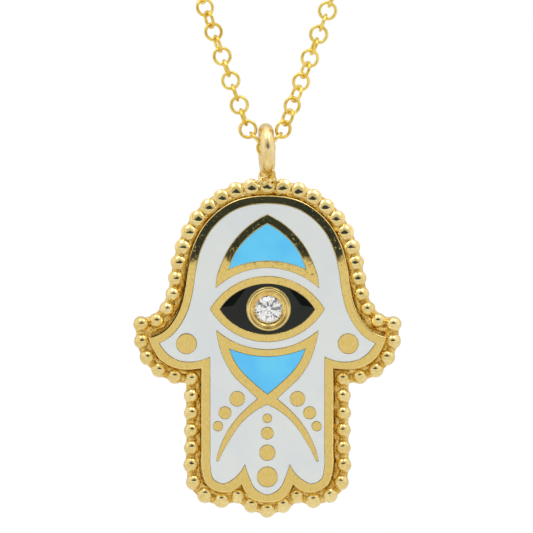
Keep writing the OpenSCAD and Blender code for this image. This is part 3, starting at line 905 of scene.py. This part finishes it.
bail = Shell()
rings = []
for k in range(BAIL_STEPS + 1):
    a = 2 * math.pi * k / BAIL_STEPS
    out = np.array([0, math.cos(a), math.sin(a)])
    rim = []
    for i in range(BAIL_SIDES):
        b = 2 * math.pi * i / BAIL_SIDES
        p = (BAIL_R + WIRE_R * math.cos(b)) * out + np.array([WIRE_R * math.sin(b), 0, 0])
        lump = noise.noise(Vector(p) * 1.1 + Vector((3, 7, 1)))
        p = p * (1 + BAIL_LUMPS * lump)
        x = p[0] * math.cos(BAIL_TURN) - p[2] * math.sin(BAIL_TURN)
        z = p[0] * math.sin(BAIL_TURN) + p[2] * math.cos(BAIL_TURN)
        y = BAIL_R + p[1]
        leaning_x = x * math.cos(BAIL_LEAN) - y * math.sin(BAIL_LEAN)
        leaning_y = x * math.sin(BAIL_LEAN) + y * math.cos(BAIL_LEAN)
        rim.append((leaning_x, BAIL_AT - BAIL_R + leaning_y, MID_Z + z))
    rings.append(np.array(rim))
bail.wall(rings)

drawn_wire = Finish(bpy.data.materials.new("bail_gold"))
streaks = drawn_wire.grain((3000, 3000, 420), 3.0)
bail_gold = drawn_wire.surface(
    Base_Color=drawn_wire.mix(streaks.ramp(0.35, 0.65), BAIL_GOLD_DEEP, BAIL_GOLD),
    Metallic=1.0,
    Roughness=0.19 + streaks * 0.10,
    Normal=drawn_wire.bump(streaks, 3.2e-5),
)
bail_ring = bail.piece("bail_ring", [bail_gold], 60)

# The crumpled solder, roughest on its front.
mound = Shell()
rings = []
foot, head = BEAD_TOP - MOUND_INTO, BAIL_AT - BAIL_R + MOUND_INTO
for k in range(MOUND_STEPS + 1):
    s = k / MOUND_STEPS
    y = foot + (head - foot) * s
    half_x = 0.58 + 0.50 * (1 - s) ** 2
    half_z = 0.58 + 0.20 * math.sin(math.radians(180 * min(1, s * 1.05))) - 0.04 * s
    rim = []
    for i in range(MOUND_SIDES):
        b = 2 * math.pi * i / MOUND_SIDES
        p = Vector((half_x * math.cos(b), y, MID_Z + half_z * math.sin(b)))
        lump = noise.noise(p * 2.6) + 0.4 * noise.noise(p * 6.1 + Vector((5, 2, 8)))
        rough = 0.12 + 0.34 * max(0, math.sin(b))
        grow = 1 + rough * lump * min(1, 4 * s + 0.3) * min(1, 4 * (1 - s))
        rim.append((p[0] * grow, y + 0.05 * lump, MID_Z + (p[2] - MID_Z) * grow))
    rings.append(np.array(rim))
foot_ring, head_ring = (ring * (0, 1, 0) + (0, 0, MID_Z) for ring in (rings[0], rings[-1]))
mound.wall([foot_ring] + rings + [head_ring])

crumpled = Finish(bpy.data.materials.new("solder_gold"))
folds = crumpled.grain((1500, 1500, 1500), 3.0, 0.6)
solder_gold = crumpled.surface(
    Base_Color=crumpled.mix(folds.ramp(0.4, 0.6), CHANNEL_GOLD, BEAD_GOLD),
    Metallic=1.0,
    Roughness=0.10 + folds * 0.10,
    Normal=crumpled.bump(folds, 2.5e-4),
)
bail_solder = mound.piece("bail_solder", [solder_gold], 50)
for piece in (bail_ring, bail_solder):
    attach(piece, "pendant")
    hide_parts("hamsa_frame")

# Chain: round links of fine gold wire, each turned a quarter against the next, in one loop from
# one end of the clasp through the bail to the other. The right side's route is in mm.
LINK_R = 0.672
LINK_WIRE_R = 0.137
LINK_SIDES = 20
LINK_WIRE_SIDES = 8
CHAIN_Y = -74.0
V_ANGLE = math.radians(20.5)
CLASP_MIDDLE_Y = 1.4
LAST_LINK_X = 5.535
ROUTE_STEPS = 24
TURNED_AT = (0, 4, 9, 30)
CHAIN_ROUTE = [
    (5.46, 1.4, 0), (12, 0.5, -0.2), (21, -2.5, -1.5), (30, -9.5, -5), (37, -20, -10.5),
    (40.5, -32, -18), (40.5, -44, -27), (37.5, -55, -37.5), (33.5, -63.5, -48.5),
    (29, -69.5, -60.5), (22, -73, -79.5), (14, -74, -101), (6.5, -74, -121),
]
CHAIN_GOLD = colour(246, 222, 126)
CHAIN_GOLD_DEEP = colour(228, 194, 88)

stations = [np.array(p, float) for p in CHAIN_ROUTE]
leads = [np.array([1.0, 0, 0])]
leads += [smooth_tangent(*stations[i - 1 : i + 2]) for i in range(1, len(stations) - 1)]
leads += [np.array([-math.sin(V_ANGLE), 0, -math.cos(V_ANGLE)])]
right_side = []
for i in range(len(stations) - 1):
    a, b = stations[i], stations[i + 1]
    gap = np.linalg.norm(b - a)
    steps = [k / ROUTE_STEPS for k in range(ROUTE_STEPS)]
    right_side += [hermite(a, b, leads[i] * gap, leads[i + 1] * gap, s) for s in steps]
right_side.append(stations[-1])


def quarter_turned(centres, first_normal, last_normal, turned_by):
    """A frame at each link: its length along the chain and the line through its hole."""
    n = len(centres)
    ahead = np.gradient(centres, axis=0)
    ahead = ahead / np.linalg.norm(ahead, axis=1)[:, None]
    normal = np.array(first_normal, float)
    normals = []
    for t in ahead:
        normal = normal - t * float(normal @ t)
        normal = normal / np.linalg.norm(normal)
        normals.append(normal)
    side = np.cross(ahead[-1], normals[-1])
    twist = math.atan2(float(np.dot(last_normal, side)), float(np.dot(last_normal, normals[-1])))
    frames = []
    for k in range(n):
        a = twist * k / (n - 1) + math.radians(np.interp(k, TURNED_AT, turned_by))
        a += math.radians(90) * (k % 2) + math.radians(9) * noise.noise(Vector((k * 0.83, 4, 2)))
        over = np.cross(ahead[k], normals[k])
        frames.append((ahead[k], normals[k] * math.cos(a) + over * math.sin(a)))
    return frames


# The middle link lies under the bail's arch. Columns for each side of it: sign of x; the next two
# links' x and z; spacing of the links up the side; how far the second link and the fourth, ninth
# and thirtieth above it are turned from face on or edge on, in degrees.
MIDDLE_LINK = np.array([-0.12, CHAIN_Y, -136.42])
BESIDE_MIDDLE = [
    (-1, (-0.893, -135.69), (-1.60, -134.91), 1.068, (-10, -4, 14, 0)),
    (1, (0.680, -135.73), (1.312, -134.91), 1.046, (35, 30, 9, 0)),
]
placed = [(MIDDLE_LINK, np.array([1.0, 0, 0]), np.array([0, 1.0, 0]))]
for sign, (first_x, first_z), (second_x, second_z), pitch, turned_by in BESIDE_MIDDLE:
    second = np.array([second_x, CHAIN_Y, second_z])
    upward = np.array(right_side[::-1]) * (sign, 1, 1)
    upward = np.vstack([second, upward[upward[:, 2] > second_z + 1]])
    upward = np.vstack([upward[:-1], [sign * LAST_LINK_X, CLASP_MIDDLE_Y, 0]])
    along = np.concatenate([[0], np.cumsum(np.linalg.norm(np.diff(upward, axis=0), axis=1))])
    count = math.ceil(along[-1] / pitch)
    count += count % 2
    at = np.linspace(0, along[-1], count + 1)
    hung = np.column_stack([np.interp(at, along, upward[:, i]) for i in range(3)])
    frames = quarter_turned(hung, (0, 1, 0), (0, 0, 1), turned_by)
    placed += [(centre, ahead, normal) for centre, (ahead, normal) in zip(hung, frames)]
    ahead = (second - MIDDLE_LINK) / np.linalg.norm(second - MIDDLE_LINK)
    placed.append((np.array([first_x, CHAIN_Y, first_z]), ahead, np.cross(ahead, (0, 1, 0))))

links = Shell()
turn = np.arange(LINK_SIDES) * 2 * math.pi / LINK_SIDES
for centre, ahead, normal in placed:
    side = np.cross(normal, ahead)
    rings = []
    for b in np.arange(LINK_WIRE_SIDES + 1) * 2 * math.pi / LINK_WIRE_SIDES:
        reach = LINK_R + LINK_WIRE_R * math.cos(b)
        ring = centre + reach * (np.cos(turn)[:, None] * ahead + np.sin(turn)[:, None] * side)
        rings.append(ring + LINK_WIRE_R * math.sin(b) * normal)
    links.wall(rings)

wire = Finish(bpy.data.materials.new("chain_gold"))
dents = wire.grain((2600, 2600, 2600), 2.0)
chain_gold = wire.surface(
    Base_Color=wire.mix(wire.grain((900, 900, 900)).ramp(0.35, 0.65), CHAIN_GOLD_DEEP, CHAIN_GOLD),
    Metallic=1.0,
    Roughness=0.22 + dents * 0.14,
    Normal=wire.bump(dents, 1.5e-5),
)
chain_links = links.piece("chain_links", [chain_gold], 80, lambda p: np.asarray(p) / 1000)
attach(chain_links, "chain")
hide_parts("chain")

# Clasp: a plain polished gold barrel with a ring at each end, behind the neck. The ends of the
# chain hook into its rings; it keeps its solid form.
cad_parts["clasp"].data.materials.clear()
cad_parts["clasp"].data.materials.append(polished_gold)

# Studio: a pale floor far below, a white tent all round with two soft windows above, and the dark
# shape of the camera's side, which the gold mirrors.
FLOOR_Z = -0.45
FLOOR_R = 1.6
FLOOR_SIDES = 96
TENT_LOW = (0.92, 0.92, 0.92, 1)
TENT_HIGH = (1.22, 1.21, 1.18, 1)
TENT_FRONT = (0.80, 0.77, 0.69, 1)
TENT_FOLD = (0.72, 0.62, 0.44, 1)
TENT_SEAM = (0.42, 0.33, 0.18, 1)
CARD_SKIRT = (0.30, 0.27, 0.16, 1)
CARD_DARK = (0.032, 0.050, 0.105, 1)
CARD_PALE = (0.085, 0.105, 0.130, 1)
WINDOW_SIZE = 0.11
WINDOW_TALL = 1.6
WINDOWS = [
    ("window_left", (-0.13, -0.24, 0.24), 0.22),
    ("window_right", (0.15, -0.24, 0.22), 0.20),
]
WINDOW_AIM = (0, -0.074, -0.152)

floor_mesh = bpy.data.meshes.new("floor")
rim = circle(0, 0, FLOOR_R, FLOOR_SIDES)
floor_mesh.from_pydata([(x, y, FLOOR_Z) for x, y in rim], [], [tuple(range(FLOOR_SIDES))])
floor = bpy.data.objects.new("floor", floor_mesh)
bpy.context.scene.collection.objects.link(floor)
ground = Finish(bpy.data.materials.new("pale_floor"))
pale = ground.mix(ground.grain((9, 9, 9)), colour(240, 240, 240), colour(244, 244, 244))
floor_mesh.materials.append(ground.surface(Base_Color=pale, Roughness=0.7))

tent = Finish(bpy.data.worlds.new("tent"))
bpy.context.scene.world = tent.owner
looking = tent.node("TexCoord", {}, output=0)
x, y, z = (tent.node("SeparateXYZ", {}, looking, output=axis) for axis in range(3))
front = y.ramp(0.0, -0.2)
white_tent = tent.mix(z.ramp(-0.6, 0.7), TENT_LOW, TENT_HIGH)
white_tent = tent.mix(y.ramp(0.05, 0.75), white_tent, TENT_FRONT)
waves = tent.node("TexNoise", {}, Vector=looking, Scale=4.0, Detail=4.0)
folds = waves.ramp(0.52, 0.30) * 0.30 * abs(x).ramp(0.10, 0.30)
white_tent = tent.mix(folds, white_tent, TENT_FOLD)
seams = abs(abs(x) - 0.74).ramp(0.050, 0.020) * front
white_tent = tent.mix(seams * 0.45, white_tent, TENT_SEAM)
blotches = tent.node("TexNoise", {}, Vector=looking, Scale=260.0, Detail=3.0)
ragged = tent.node("TexNoise", {}, Vector=looking, Scale=40.0, Detail=3.0)
bowl = z + ragged * 0.002 - x * x * 0.3
dome = (abs(x) * 0.66 + z).ramp(0.57, 0.52)
skirt = (x * x * 1.2 + z * z).ramp(0.66, 0.50) * 0.5
flag = bowl.ramp(0.0016, 0.0030) * dome.most(skirt) * front
dark = tent.mix(blotches.ramp(0.42, 0.66), CARD_DARK, CARD_PALE)
card = tent.mix(dome, CARD_SKIRT, dark)
shown = tent.mix(flag, white_tent, card)
seen = tent.node("LightPath", {}, output=0)
lit = tent.mix(seen, shown, (1.0, 1.0, 1.0, 1))
glow = tent.node("Background", {}, lit, 1.0)
tent.node("OutputWorld", {}, glow)

for name, at, watts in WINDOWS:
    lamp = bpy.data.lights.new(name, "AREA")
    lamp.shape = "RECTANGLE"
    lamp.size = WINDOW_SIZE
    lamp.size_y = WINDOW_SIZE * WINDOW_TALL
    lamp.energy = watts
    holder = bpy.data.objects.new(name, lamp)
    holder.location = at
    aim = Vector(WINDOW_AIM) - Vector(at)
    holder.rotation_euler = aim.to_track_quat("-Z", "Y").to_euler()
    bpy.context.scene.collection.objects.link(holder)

# Camera: square on to the pendant's face and close, with the frame 43.7 mm wide there, as in the
# photograph.
FRAME_W = 0.0437
DISTANCE = 0.32
SENSOR_W = 36
AIMED_AT = (-0.00007, -0.0749, -0.14619)

lens_data = bpy.data.cameras.new("camera")
lens_data.sensor_width = SENSOR_W
lens_data.lens = SENSOR_W * DISTANCE / FRAME_W
lens_data.clip_start = 0.01
camera = bpy.data.objects.new("camera", lens_data)
camera.location = Vector(AIMED_AT) - Vector((0, DISTANCE, 0))
camera.rotation_euler = (math.pi / 2, 0, 0)
bpy.context.scene.collection.objects.link(camera)
bpy.context.scene.camera = camera
bpy.context.scene.view_settings.view_transform = "Standard"
